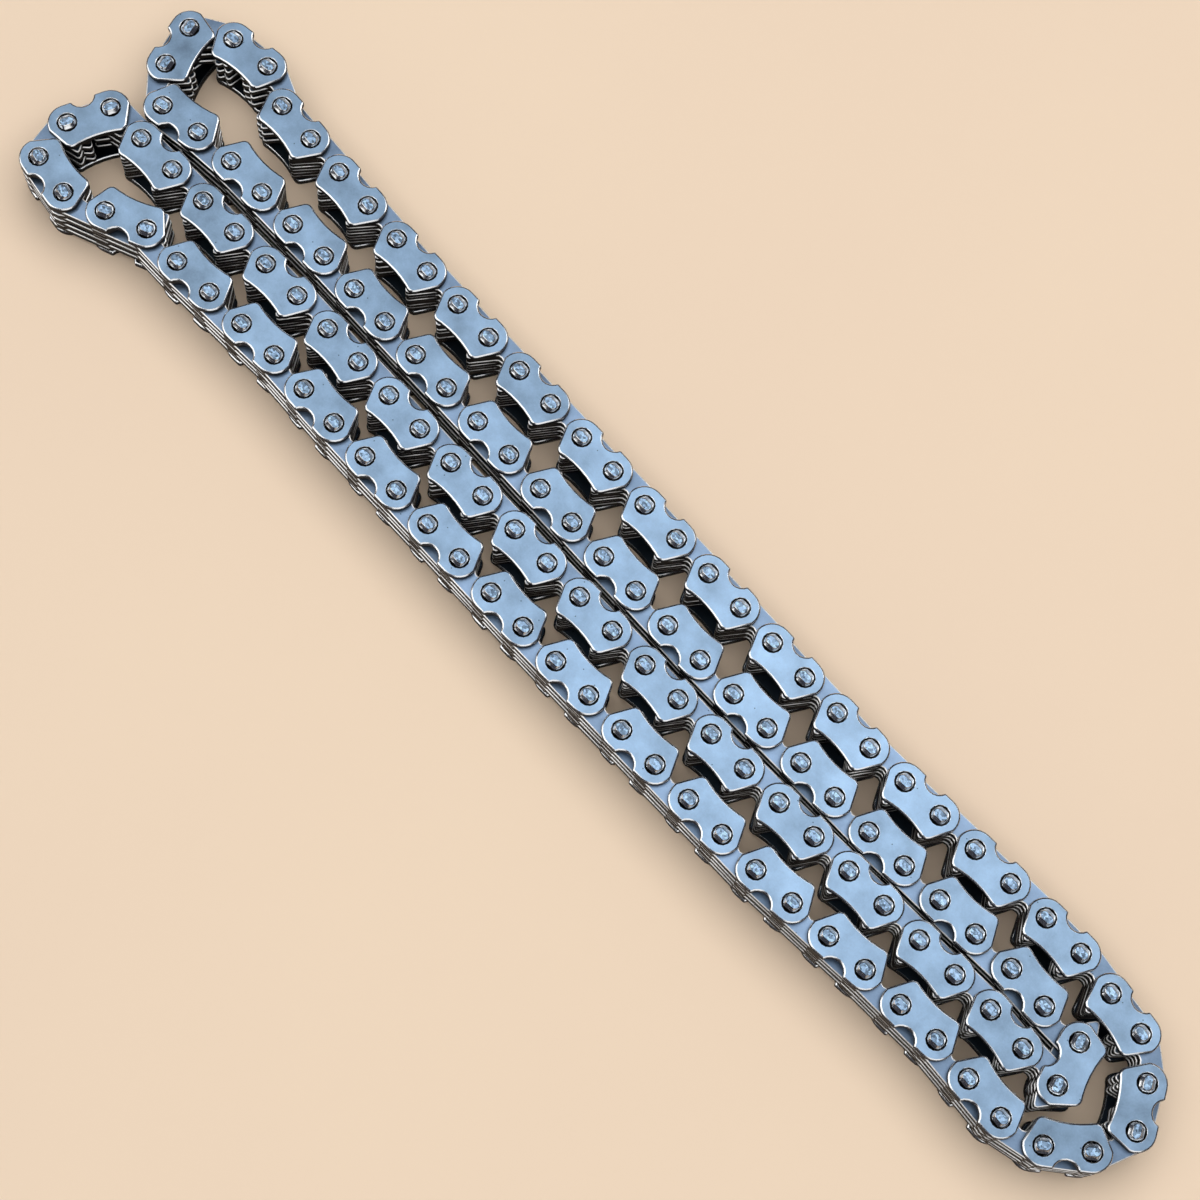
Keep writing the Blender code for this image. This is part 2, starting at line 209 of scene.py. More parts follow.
class ChainPlateSizes(bpy.types.PropertyGroup):
    """Sizes of the three kinds of plate, measured from the line through the two pins."""

    thickness: bpy.props.FloatProperty(
        name="Thickness", description="Thickness of one plate", default=0.9 * MM, unit="LENGTH"
    )
    layer_gap: bpy.props.FloatProperty(
        name="Layer gap", description="Space between two layers", default=0.1 * MM, unit="LENGTH"
    )
    lobe_radius: bpy.props.FloatProperty(
        name="Lobe radius", description="Round end about each pin", default=2.72 * MM, unit="LENGTH"
    )
    back_cut: bpy.props.FloatProperty(
        name="Back cut", description="Straight back below the top of the lobes",
        default=0.16 * MM, unit="LENGTH",
    )
    toe_drop: bpy.props.FloatProperty(
        name="Toe drop", description="Toes below the pins", default=3.88 * MM, unit="LENGTH"
    )
    toe_half: bpy.props.FloatProperty(
        name="Toe half width", description="Half the width of a tooth's tip",
        default=0.245 * MM, unit="LENGTH",
    )
    guide_toe_half: bpy.props.FloatProperty(
        name="Guide toe", description="How far a guide plate's toe reaches past its pin",
        default=0.85 * MM, unit="LENGTH",
    )
    guide_toe_round: bpy.props.FloatProperty(
        name="Guide toe round", description="Rounding of the guide plate's toes",
        default=1.0 * MM, unit="LENGTH",
    )
    toe_round: bpy.props.FloatProperty(
        name="Tooth round", description="Rounding of the tooth tips", default=0.36 * MM, unit="LENGTH"
    )
    hollow: bpy.props.FloatProperty(
        name="Hollow", description="Depth of the hollow between a guide plate's toes",
        default=0.6 * MM, unit="LENGTH",
    )
    crotch_radius: bpy.props.FloatProperty(
        name="Crotch radius", description="Round top of the gap between two teeth",
        default=1.0 * MM, unit="LENGTH",
    )
    notch_floor: bpy.props.FloatProperty(
        name="Notch floor", description="Floor of the guide plate's notch",
        default=1.48 * MM, unit="LENGTH",
    )
    notch_radius: bpy.props.FloatProperty(
        name="Notch radius", description="Round of the guide plate's notch",
        default=1.77 * MM, unit="LENGTH",
    )
    shoulder_round: bpy.props.FloatProperty(
        name="Shoulder round", description="Rounding where the notch meets a lobe",
        default=0.32 * MM, unit="LENGTH",
    )
    hole_radius: bpy.props.FloatProperty(
        name="Hole radius", description="Hole that clears the pin", default=1.36 * MM, unit="LENGTH"
    )
    guide_rim: bpy.props.FloatProperty(
        name="Guide rim", description="Height of a guide plate's rolled rim",
        default=0.2 * MM, unit="LENGTH",
    )
    rim: bpy.props.FloatProperty(
        name="Rim", description="Height of a laced plate's rolled rim",
        default=0.14 * MM, unit="LENGTH",
    )
    play: bpy.props.FloatProperty(
        name="Play", description="How far a loose plate sits out of line",
        default=0.05 * MM, unit="LENGTH",
    )
    swing: bpy.props.FloatProperty(
        name="Swing", description="How far a loose plate sits turned",
        default=math.radians(0.5), subtype="ANGLE",
    )


class ChainPinSizes(bpy.types.PropertyGroup):
    """Sizes of the riveted pins."""

    radius: bpy.props.FloatProperty(
        name="Radius", description="Round sides of a pin", default=1.18 * MM, unit="LENGTH"
    )
    flat: bpy.props.FloatProperty(
        name="Flat", description="Flats of a pin from its axis", default=1.02 * MM, unit="LENGTH"
    )
    slope: bpy.props.FloatProperty(
        name="Slope", description="How far the head's two flanks draw in",
        default=0.36 * MM, unit="LENGTH",
    )
    slope_height: bpy.props.FloatProperty(
        name="Slope height", description="Height of the head's two flanks",
        default=0.30 * MM, unit="LENGTH",
    )
    head: bpy.props.FloatProperty(
        name="Head", description="Height of a pin over its guide plate", default=0.4 * MM, unit="LENGTH"
    )
    chamfer: bpy.props.FloatProperty(
        name="Chamfer", description="Rounded shoulder of the head", default=0.12 * MM, unit="LENGTH"
    )
    stake: bpy.props.FloatProperty(
        name="Stake", description="Depth of the riveting mark", default=0.05 * MM, unit="LENGTH"
    )


class ChainColours(bpy.types.PropertyGroup):
    """Colours of the steel and the table."""

    guide: bpy.props.FloatVectorProperty(
        name="Guide plates", description="Satin face of the guide plates",
        default=(0.372, 0.523, 0.70), size=3, subtype="COLOR",
    )
    # Darker than the guide plates' face: partly painted shade, as the laced plates lie under and between the
    # guide plates
    inner: bpy.props.FloatVectorProperty(
        name="Laced plates", description="Satin face of the mid and inner plates",
        default=(0.31, 0.425, 0.59), size=3, subtype="COLOR",
    )
    # Near black: dark sheared steel, and partly painted shade of the gaps and of the dim room the sides face
    side: bpy.props.FloatVectorProperty(
        name="Sheared side", description="Stamped side of every plate",
        default=(0.012, 0.011, 0.012), size=3, subtype="COLOR",
    )
    # Near white and part diffuse: partly a painted highlight, so every laced rim shows as a light line, even
    # deep in the gaps
    laced_rim: bpy.props.FloatVectorProperty(
        name="Laced rim", description="Lighter rolled rim of the mid and inner plates",
        default=(0.98, 0.98, 0.98), size=3, subtype="COLOR",
    )
    rim: bpy.props.FloatVectorProperty(
        name="Polished rim", description="Bright rolled rim of the guide plates and pins",
        default=(0.86, 0.88, 0.90), size=3, subtype="COLOR",
    )
    pin: bpy.props.FloatVectorProperty(
        name="Pin end", description="Riveted end of a pin",
        default=(0.366, 0.514, 0.70), size=3, subtype="COLOR",
    )
    table: bpy.props.FloatVectorProperty(
        name="Table", description="Pale table", default=(0.87, 0.70, 0.535), size=3, subtype="COLOR"
    )


class ChainStage(bpy.types.PropertyGroup):
    """Camera and studio light."""

    lens: bpy.props.FloatProperty(name="Lens", description="Focal length, mm", default=84.47)
    distance: bpy.props.FloatProperty(
        name="Distance", description="Camera to its aim", default=0.37466, unit="LENGTH"
    )
    azimuth: bpy.props.FloatProperty(
        name="Azimuth", description="Camera's bearing from its aim",
        default=math.radians(-53.08), subtype="ANGLE",
    )
    elevation: bpy.props.FloatProperty(
        name="Elevation", description="Camera over the table",
        default=math.radians(74.65), subtype="ANGLE",
    )
    roll: bpy.props.FloatProperty(
        name="Roll", description="Camera's turn about its axis",
        default=math.radians(10.41), subtype="ANGLE",
    )
    aim: bpy.props.FloatVectorProperty(
        name="Aim", description="Point at the middle of the picture",
        default=(0.00104, -0.00174, 0.0093), size=3, unit="LENGTH",
    )
    overhead: bpy.props.FloatProperty(
        name="Overhead", description="Power of the overhead lamp, W", default=19.5
    )
    window: bpy.props.FloatProperty(
        name="Window card", description="Radiance of the card in front of the window", default=2.2
    )
    ceiling: bpy.props.FloatProperty(
        name="Ceiling card", description="Radiance of the card under the ceiling", default=0.7
    )
    left: bpy.props.FloatProperty(
        name="Left card", description="Radiance of the card on the left", default=1.5
    )
    low: bpy.props.FloatProperty(
        name="Low card", description="Radiance of the card in front", default=1.0
    )
    fill: bpy.props.FloatProperty(name="Fill", description="Light from all round", default=0.2)


def heading_vector(heading):
    """Unit vector on the table, for a heading in degrees."""
    angle = math.radians(heading)
    return Vector((math.cos(angle), math.sin(angle), 0.0))


def span(headings):
    """End-to-end vector of a run of links, in mm."""
    return sum((heading_vector(heading) for heading in headings), Vector()) * ROUTE_PITCH


def unroll(runs):
    """One heading for each link, from runs of (links, heading)."""
    return [heading for count, heading in runs for _ in range(count)]


def belly(spread, links, others):
    """Slope of the links that join two strands a given spread apart."""
    return math.degrees(math.asin((spread - span(others).y) / (links * ROUTE_PITCH)))


def close_bend(headings, gap):
    """Spread and turn the headings of a bend until its links span the gap."""
    middle = sum(headings) / len(headings)
    spread = 1.0
    turn = 0.0
    for _ in range(BEND_ROUNDS):
        trial = [middle + turn + spread * (heading - middle) for heading in headings]
        wider = [middle + turn + (spread + BEND_STEP) * (heading - middle) for heading in headings]
        reach = span(trial)
        miss = gap - reach
        by_turn = (span([heading + BEND_STEP for heading in trial]) - reach) / BEND_STEP
        by_spread = (span(wider) - reach) / BEND_STEP
        det = by_turn.x * by_spread.y - by_turn.y * by_spread.x
        turn += (miss.x * by_spread.y - miss.y * by_spread.x) / det
        spread += (by_turn.x * miss.y - by_turn.y * miss.x) / det
    return [middle + turn + spread * (heading - middle) for heading in headings]


def lay_headings():
    """Heading of every link, link 0 first."""
    loop_ab = unroll(LOOP_AB)
    strand_c = unroll(STRAND_C)
    loop_cd = unroll(LOOP_CD)
    belly_ab = 180.0 - belly(TOOTH_LANE, 2, loop_ab[:3])
    flare = belly(BACK_LANE, 2, [INNER_BEND])
    belly_cd = belly(TOOTH_LANE + LOOP_SPREAD, 1, strand_c[-2:] + loop_cd)
    forward = loop_ab + unroll(STRAND_B) + [flare, INNER_BEND, 180.0 - flare] + strand_c
    forward += loop_cd + [belly_cd] + unroll(STRAND_D)
    backward = unroll(STRAND_A) + [belly_ab, belly_ab]
    return forward + close_bend(OUTER_BEND, -span(forward) - span(backward)) + backward


def lay_links():
    """Matrix of every link: its first pin at the origin, +X to the next pin, +Y to the back."""
    headings = lay_headings()
    pins = [Vector()]
    for heading in headings[:-1]:
        pins.append(pins[-1] + span([heading]) * MM)
    anchor = HINGES["loop_ab_link_4"]
    shift = Vector((anchor.x, anchor.y, 0.0)) - pins[0]
    return [
        Matrix.Translation(pin + shift) @ Matrix.Rotation(math.radians(heading), 4, "Z")
        for pin, heading in zip(pins, headings)
    ]


def arc(centre, radius, start, end, steps):
    """Points on an arc, both ends included; angles in degrees."""
    points = []
    for step in range(steps + 1):
        angle = math.radians(start + (end - start) * step / steps)
        across = centre[0] + radius * math.cos(angle)
        up = centre[1] + radius * math.sin(angle)
        points.append(Vector((across, up)))
    return points


def fillet(before, corner, after, radius, steps):
    """The arc that rounds one corner of a counter-clockwise outline."""
    first, last = (before - corner).normalized(), (after - corner).normalized()
    opening = first.angle(last)
    centre = corner + (first + last).normalized() * radius / math.sin(opening / 2)
    outward = math.atan2(-(first + last).y, -(first + last).x)
    half = (math.pi - opening) / 2
    way = math.copysign(1.0, last.cross(first))
    ends = (math.degrees(outward - way * half), math.degrees(outward + way * half))
    return arc(centre, radius, ends[0], ends[1], steps)


def mirror(points):
    """The other half of an outline that is even about the middle of the link."""
    return [Vector((-point.x, point.y)) for point in reversed(points)]


def notched_outline(sizes):
    """Guide plate: round lobes, a round notch in its back, blunt toes with a shallow hollow."""
    lobe = arc((HALF_PITCH, 0.0), sizes.lobe_radius, FLANK_ANGLE, 90.0, GUIDE_LOBE_STEPS)
    centre_y = sizes.notch_floor + sizes.notch_radius
    shoulder = math.degrees(math.asin((sizes.lobe_radius - centre_y) / sizes.notch_radius))
    notch = arc((0.0, centre_y), sizes.notch_radius, shoulder, -180 - shoulder, NOTCH_STEPS)
    notch = round_ends(lobe[-1], notch, sizes.shoulder_round)
    toe = HALF_PITCH + sizes.guide_toe_half
    radius = (toe ** 2 + sizes.hollow ** 2) / (2 * sizes.hollow)
    lean = math.degrees(math.asin(toe / radius))
    centre = (0.0, sizes.hollow - sizes.toe_drop - radius)
    hollow = arc(centre, radius, 90 + lean, 90 - lean, HOLLOW_STEPS)
    far_lobe = mirror(lobe)
    return lobe + notch + far_lobe + round_ends(far_lobe[-1], hollow, sizes.guide_toe_round)


def laced_outline(sizes):
    """Mid or inner plate: straight back and two teeth with a deep round crotch between them."""
    back = math.degrees(math.asin(1 - sizes.back_cut / sizes.lobe_radius))
    lobe = arc((HALF_PITCH, 0.0), sizes.lobe_radius, FLANK_ANGLE, back, LACED_LOBE_STEPS)
    far_lobe = mirror(lobe)
    outer_toe = Vector((-HALF_PITCH - sizes.toe_half, -sizes.toe_drop))
    inner_toe = Vector((sizes.toe_half - HALF_PITCH, -sizes.toe_drop))
    flank = Vector((-2 * HALF_PITCH - far_lobe[-1].x, far_lobe[-1].y))
    lean = math.atan2(flank.x - inner_toe.x, flank.y - inner_toe.y)
    offset = flank.y * math.sin(lean) - flank.x * math.cos(lean)
    centre_y = (offset - sizes.crotch_radius) / math.sin(lean)
    end = math.degrees(lean)
    crotch = arc((0.0, centre_y), sizes.crotch_radius, 180 - end, end, CROTCH_STEPS)
    toes = fillet(far_lobe[-1], outer_toe, inner_toe, sizes.toe_round, TOE_STEPS)
    toes += fillet(outer_toe, inner_toe, crotch[0], sizes.toe_round, TOE_STEPS)
    return lobe + far_lobe + toes + crotch + mirror(toes)


def round_ends(before, points, radius):
    """Round the first corner of a symmetrical stretch of outline, and its last to match."""
    first = fillet(before, points[0], points[1], radius, ROUND_STEPS)
    return first + points[1:-1] + mirror(first)


def draw_in(mesh, cap, inset, finish):
    """Inset a cap, and give the ring of faces left round it a finish."""
    ring = bmesh.ops.inset_region(mesh, faces=cap, thickness=inset, use_even_offset=True)["faces"]
    for face in ring:
        face.material_index = finish


def corners(faces):
    """The vertices of some faces, each once."""
    return list({vert for face in faces for vert in face.verts})


def roll_rim(mesh, cap, rim, hole_radius):
    """Draw a cap in and up by a steep, a middle and a gentle facet; the holes' rims are narrower."""
    drawn = 0.0
    for inset, rise, finish in RIM_FACETS:
        draw_in(mesh, cap, inset * rim, finish)
        drawn += inset * rim
        for vert in corners(cap):
            vert.co.z += rise * rim
            pin = Vector((math.copysign(HALF_PITCH, vert.co.x), 0.0, vert.co.z))
            arm = vert.co - pin
            if arm.length < HOLE_RIM_REACH * hole_radius:
                vert.co = pin + arm.normalized() * (hole_radius + HOLE_RIM_SHARE * drawn)


def plate_pattern(sizes, outline, hole_sides, rim):
    """One plate lying on the table, its first pin at the origin."""
    mesh = bmesh.new()
    verts = [mesh.verts.new((point.x, point.y, 0.0)) for point in outline]
    for index, vert in enumerate(verts):
        mesh.edges.new((verts[index - 1], vert))
    for pin in (-HALF_PITCH, HALF_PITCH):
        place = Matrix.Translation((pin, 0.0, 0.0))
        bmesh.ops.create_circle(mesh, segments=hole_sides, radius=sizes.hole_radius, matrix=place)
    filled = bmesh.ops.triangle_fill(mesh, use_beauty=True, edges=mesh.edges[:])["geom"]
    base = [item for item in filled if isinstance(item, bmesh.types.BMFace)]
    raised, lid = raise_lid(mesh, base)
    for face in set(mesh.faces) - set(lid) - set(base):
        face.material_index = SIDE
    bmesh.ops.translate(mesh, verts=raised, vec=(0.0, 0.0, sizes.thickness - rim))
    roll_rim(mesh, lid, rim, sizes.hole_radius)
    bmesh.ops.translate(mesh, verts=mesh.verts[:], vec=(HALF_PITCH, 0.0, 0.0))
    bmesh.ops.recalc_face_normals(mesh, faces=mesh.faces[:])
    join_flat_faces(mesh)
    return stored(mesh, "plate_pattern")


def raise_lid(mesh, base):
    """Extrude a floor, which stays; give the new cap's vertices and faces."""
    grown = bmesh.ops.extrude_face_region(mesh, geom=base, use_keep_orig=True)["geom"]
    raised = [item for item in grown if isinstance(item, bmesh.types.BMVert)]
    return raised, [item for item in grown if isinstance(item, bmesh.types.BMFace)]


def join_flat_faces(mesh):
    """Take out the filling edges that lie inside a flat cap."""
    edges = {edge for face in mesh.faces if face.material_index == FACE for edge in face.edges}
    bmesh.ops.dissolve_limit(
        mesh, angle_limit=math.radians(1.0), verts=[], edges=list(edges), delimit={"MATERIAL"}
    )


def pin_pattern(name, sizes, floor, top):
    """One flat-sided pin; its head is a bar with sloped flanks, a bright shoulder and a riveting mark."""
    mesh = bmesh.new()
    bmesh.ops.create_circle(mesh, cap_ends=True, segments=PIN_SIDES, radius=sizes.radius)
    for side in (-1.0, 1.0):
        bmesh.ops.bisect_plane(
            mesh, geom=mesh.verts[:] + mesh.edges[:] + mesh.faces[:], plane_co=(0.0, side * sizes.flat, 0.0),
            plane_no=(0.0, side, 0.0), clear_outer=True,
        )
    bmesh.ops.translate(mesh, verts=mesh.verts[:], vec=(0.0, 0.0, floor))
    raised, lid = raise_lid(mesh, mesh.faces[:])
    for face in mesh.faces:
        face.material_index = SIDE
    shank = top - floor - sizes.chamfer - sizes.slope_height
    bmesh.ops.translate(mesh, verts=raised, vec=(0.0, 0.0, shank))
    ease = SLOPE_EASE * sizes.slope
    draw_in(mesh, lid, ease, RIM)
    narrowing = (sizes.flat - sizes.slope) / (sizes.flat - ease)
    bmesh.ops.scale(mesh, verts=corners(lid), vec=(BAR_SHRINK, narrowing, 1.0))
    bmesh.ops.translate(mesh, verts=corners(lid), vec=(0.0, 0.0, sizes.slope_height))
    for inset, rise in SHOULDER_FACETS:
        draw_in(mesh, lid, inset * sizes.chamfer, RIM)
        bmesh.ops.translate(mesh, verts=corners(lid), vec=(0.0, 0.0, rise * sizes.chamfer))
    draw_in(mesh, lid, MARK_INSET * sizes.chamfer, FACE)
    bmesh.ops.translate(mesh, verts=corners(lid), vec=(0.0, 0.0, -sizes.stake))
    for face in lid:
        face.material_index = FACE
    bmesh.ops.recalc_face_normals(mesh, faces=mesh.faces[:])
    return stored(mesh, name)


def stored(mesh, name):
    """Finish a mesh: round stretches smooth, corners and borders between finishes sharp."""
    for face in mesh.faces:
        face.smooth = True
    for edge in mesh.edges:
        finishes = {face.material_index for face in edge.link_faces}
        edge.smooth = len(finishes) == 1 and edge.calc_face_angle(math.pi) < SMOOTH_LIMIT
    data = bpy.data.meshes.new(name)
    mesh.to_mesh(data)
    mesh.free()
    return data


def chain_groups():
    """Every group of like pieces: name, CAD node, kind, and its (link, layer or pin end) places."""
    groups = []
    runs = dict(RUNS)
    for pair in range(PAIRS):
        runs[f"strand_a_pair_{pair + 1:02d}_links"] = (STRAND_A_FIRST - 2 * pair, 2)
        runs[f"strand_d_pair_{pair + 1:02d}_links"] = (STRAND_D_FIRST + 2 * pair, 2)
    for node, (first, count) in runs.items():
        stem = node.removesuffix("_links")
        links = range(first, first + count)
        for letter, kind in KINDS.items():
            layers = [layer for layer, mark in enumerate(LACING) if mark == letter]
            wanted = 1 if letter == "I" else 0
            places = [(link, layer) for link in links if link % 2 == wanted for layer in layers]
            groups.append((f"{stem}_{kind}", node, kind, places))
        pins = [(link, end) for link in links if link % 2 == 0 for end in (0, 1)]
        groups.append((f"{stem}_pins", node, "pins", pins))
    return [group for group in groups if group[3]] + single_pieces()


def single_pieces():
    """The plates and pins of the left loop that have CAD nodes of their own."""
    inner = [layer for layer, mark in enumerate(LACING) if mark == "I"]
    mid = [layer for layer, mark in enumerate(LACING) if mark == "M"]
    top = len(LACING) - 1
    singles = [("loop_ab_guide_plate_bottom", "guide_plates", (0, 0))]
    singles.append(("loop_ab_guide_plate_top", "guide_plates", (0, top)))
    for count, layer in enumerate(mid, start=1):
        singles.append((f"loop_ab_mid_plate_{count}", "mid_plates", (0, layer)))
    for count, layer in enumerate(inner, start=1):
        singles.append((f"loop_ab_front_inner_plate_{count}", "inner_plates", (1, layer)))
        singles.append((f"loop_ab_rear_inner_plate_{count}", "inner_plates", (125, layer)))
    singles.append(("loop_ab_pin_1", "pins", (0, 1)))
    singles.append(("loop_ab_pin_2", "pins", (0, 0)))
    return [(f"{node}_dressed", node, kind, [place]) for node, kind, place in singles]


def painted_sheen_tone(place, chance):
    """Tone of one copy: mostly painted sheen from where it lies along the strands, a little by chance."""
    away = place.translation.x - SHEEN_X
    slope = SHEEN_FALL if away > 0 else SHEEN_RISE
    return SHEEN_TONE - slope * abs(away) + CHANCE_SHARE * (chance - 0.5)


def copy_pattern(mesh, pattern, matrix, tone):
    """Add one copy of a pattern to a mesh, with its own tone of painted sheen and chance."""
    old = len(mesh.verts)
    old_faces = len(mesh.faces)
    mesh.from_mesh(pattern)
    mesh.verts.ensure_lookup_table()
    mesh.faces.ensure_lookup_table()
    bmesh.ops.transform(mesh, matrix=matrix, verts=mesh.verts[old:])
    layer = mesh.faces.layers.float["tone"]
    for face in mesh.faces[old_faces:]:
        face[layer] = tone


def build_group(name, node, patterns, materials):
    """Make one object from (pattern, matrix, tone) copies, riding where its node rides."""
    mesh = bmesh.new()
    mesh.faces.layers.float.new("tone")
    for pattern, matrix, tone in patterns:
        copy_pattern(mesh, pattern, matrix, tone)
    piece = bpy.data.objects.new(name, stored(mesh, name))
    bpy.context.scene.collection.objects.link(piece)
    for material in materials:
        piece.data.materials.append(material)
    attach(piece, NODE_BODIES[node])
    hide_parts(node)
    return piece


def layer_height(sizes, layer):
    """Underside of a layer of the lacing, counted from 0."""
    return layer * (sizes.thickness + sizes.layer_gap)


def build_plates(kind, pattern, face_colour, loose):
    """All plates of one kind, each a little out of line where it is loose."""
    scene = bpy.context.scene
    sizes = scene.chain_plates
    links = lay_links()
    steel = plate_steel(kind, face_colour, scene.chain_colours)
    hazard = random.Random(kind)
    for name, node, group_kind, places in chain_groups():
        if group_kind != kind:
            continue
        copies = []
        for link, layer in places:
            shift = Vector((hazard.uniform(-1, 1), hazard.uniform(-1, 1), 0.0)) * sizes.play * loose
            shift.z = layer_height(sizes, layer)
            turn = Matrix.Rotation(hazard.uniform(-1, 1) * sizes.swing * loose, 4, "Z")
            middle = Matrix.Translation((HALF_PITCH, 0.0, 0.0))
            place = links[link] @ Matrix.Translation(shift) @ middle @ turn @ middle.inverted()
            # The tone of each copy is painted sheen by where it lies, plus a little chance
            copies.append((pattern, place, painted_sheen_tone(place, hazard.random())))
        build_group(name, node, copies, steel)
    bpy.data.meshes.remove(pattern)


def build_laced(kind):
    """All mid plates or all inner plates, loose on their pins."""
    scene = bpy.context.scene
    sizes = scene.chain_plates
    pattern = plate_pattern(sizes, laced_outline(sizes), LACED_HOLE_SIDES, sizes.rim)
    # Laced faces darker than the guide plates': partly painted shade
    build_plates(kind, pattern, scene.chain_colours.inner, 1.0)


def build_pins():
    """All pins; the one at the open pivot is left as a stub in each guide plate."""
    scene = bpy.context.scene
    plates = scene.chain_plates
    sizes = scene.chain_pins
    links = lay_links()
    stack = layer_height(plates, len(LACING) - 1)
    top = stack + plates.thickness + sizes.head
    whole = pin_pattern("whole_pin", sizes, 0.0, top)
    stub = pin_pattern("upper_stub", sizes, stack, top)
    foot = pin_pattern("lower_stub", sizes, 0.0, plates.thickness)
    steel = pin_steel(scene.chain_colours)
    hazard = random.Random("pins")
    for name, node, kind, places in chain_groups():
        if kind != "pins":
            continue
        copies = []
        for link, end in places:
            place = links[link] @ Matrix.Translation((2 * end * HALF_PITCH, 0.0, 0.0))
            parts = (stub, foot) if (link, end) == (STUB_PIN, 0) else (whole,)
            # The tone of each copy is painted sheen by where it lies, plus a little chance
            tone = painted_sheen_tone(place, hazard.random())
            copies += [(part, place, tone) for part in parts]
        build_group(name, node, copies, steel)
    for pattern in (whole, stub, foot):
        bpy.data.meshes.remove(pattern)


class NodeSheet:
    """A short way to add and join shader nodes."""

    def __init__(self, tree):
        self.tree = tree

    def add(self, kind, **values):
        """A new node with the given settings."""
        node = self.tree.nodes.new(kind)
        for key, value in values.items():
            setattr(node, key, value)
        return node

    def join(self, output, target):
        """Link an output to an input."""
        self.tree.links.new(output, target)

    def math(self, operation, first, second):
        """A Math node of two values, each a socket or a number."""
        node = self.add("ShaderNodeMath", operation=operation)
        for socket, value in zip(node.inputs, (first, second)):
            if isinstance(value, bpy.types.NodeSocket):
                self.join(value, socket)
            else:
                socket.default_value = value
        return node.outputs[0]

    def noise(self, place, scale, detail):
        """A Noise node whose scale is a socket or a number."""
        node = self.add("ShaderNodeTexNoise")
        node.inputs["Detail"].default_value = detail
        self.join(place, node.inputs["Vector"])
        if isinstance(scale, bpy.types.NodeSocket):
            self.join(scale, node.inputs["Scale"])
        else:
            node.inputs["Scale"].default_value = scale
        return node.outputs["Fac"]


def colour_mix(sheet, share, first, second):
    """A Mix node of two colours, each a socket or an (r, g, b)."""
    node = sheet.add("ShaderNodeMix", data_type="RGBA")
    sheet.join(share, node.inputs["Factor"])
    colours = [socket for socket in node.inputs if socket.type == "RGBA"]
    for socket, value in zip(colours, (first, second)):
        if isinstance(value, bpy.types.NodeSocket):
            sheet.join(value, socket)
        else:
            socket.default_value = (*value, 1.0)
    return next(socket for socket in node.outputs if socket.type == "RGBA")


def group_socket(tree, name, kind, way, default=None):
    """Give a node group a named input or output."""
    socket = tree.interface.new_socket(name=name, in_out=way, socket_type=kind)
    if default is not None:
        socket.default_value = default


def tumbled_finish():
    """Node group: the tone, roughness and grain of steel that was tumbled with abrasive, with each copy's
    painted sheen and painted shade on the deep layers.
    """
    name = "tumbled_finish"
    if name in bpy.data.node_groups:
        return bpy.data.node_groups[name]
    tree = bpy.data.node_groups.new(name, "ShaderNodeTree")
    group_socket(tree, "Steel", "NodeSocketColor", "INPUT", (0.4, 0.45, 0.5, 1.0))
    for socket, default in FINISH_DEFAULTS.items():
        group_socket(tree, socket, "NodeSocketFloat", "INPUT", default)
    group_socket(tree, "Colour", "NodeSocketColor", "OUTPUT")
    group_socket(tree, "Roughness", "NodeSocketFloat", "OUTPUT")
    group_socket(tree, "Height", "NodeSocketFloat", "OUTPUT")
    sheet = NodeSheet(tree)
    given = sheet.add("NodeGroupInput").outputs
    result = sheet.add("NodeGroupOutput").inputs
    place = sheet.add("ShaderNodeTexCoord").outputs["Object"]
    # The tone attribute carries each copy's painted sheen along X and its chance
    tone = sheet.add("ShaderNodeAttribute", attribute_name="tone", attribute_type="GEOMETRY").outputs["Fac"]
    cloud = sheet.noise(place, CLOUD_SCALE, detail=3.0)
    grain = sheet.noise(place, given["Grain"], detail=2.0)
    cells = sheet.add("ShaderNodeTexVoronoi")
    sheet.join(place, cells.inputs["Vector"])
    sheet.join(given["Grain"], cells.inputs["Scale"])
    facet = sheet.add("ShaderNodeSeparateColor")
    sheet.join(cells.outputs["Color"], facet.inputs[0])
    patch = sheet.math("SUBTRACT", facet.outputs[0], 0.5)
    clouded = sheet.math("MULTIPLY", sheet.math("SUBTRACT", cloud, 0.5), CLOUD_SHARE)
    uneven = sheet.math("ADD", clouded, tone)
    level = sheet.math("MULTIPLY", sheet.math("SUBTRACT", uneven, 0.5), given["Variation"])
    fine = sheet.math("MULTIPLY", sheet.math("SUBTRACT", grain, 0.5), GRAIN_SHARE)
    mottled = sheet.math("MULTIPLY", patch, given["Mottle"])
    gain = sheet.math("ADD", sheet.math("ADD", sheet.math("ADD", level, fine), mottled), 1.0)
    # Painted shade: darken the deep layers, which lie in shade
    gain = sheet.math("MULTIPLY", gain, depth_shade_mask(sheet, place, given["Depth"]))
    gain = sheet.math("MULTIPLY", gain, speck_mask(sheet, place, given["Specks"]))
    shade = sheet.add("ShaderNodeVectorMath", operation="SCALE")
    sheet.join(given["Steel"], shade.inputs[0])
    sheet.join(gain, shade.inputs["Scale"])
    sheet.join(shade.outputs[0], result["Colour"])
    rough = sheet.math("MULTIPLY", grain, given["Spread"])
    sheet.join(sheet.math("ADD", rough, given["Polish"]), result["Roughness"])
    sheet.join(sheet.math("ADD", grain, mottled), result["Height"])
    return tree


def depth_shade_mask(sheet, place, shade_share):
    """1 on the upper layers, falling by the given share of painted shade on the deep ones below."""
    height = sheet.add("ShaderNodeSeparateXYZ")
    sheet.join(place, height.inputs[0])
    ramp = sheet.add("ShaderNodeMapRange", interpolation_type="SMOOTHSTEP")
    sheet.join(height.outputs["Z"], ramp.inputs["Value"])
    ramp.inputs["From Min"].default_value = SHADED_HEIGHT
    ramp.inputs["From Max"].default_value = LIT_HEIGHT
    sheet.join(sheet.math("SUBTRACT", 1.0, shade_share), ramp.inputs["To Min"])
    return ramp.outputs["Result"]


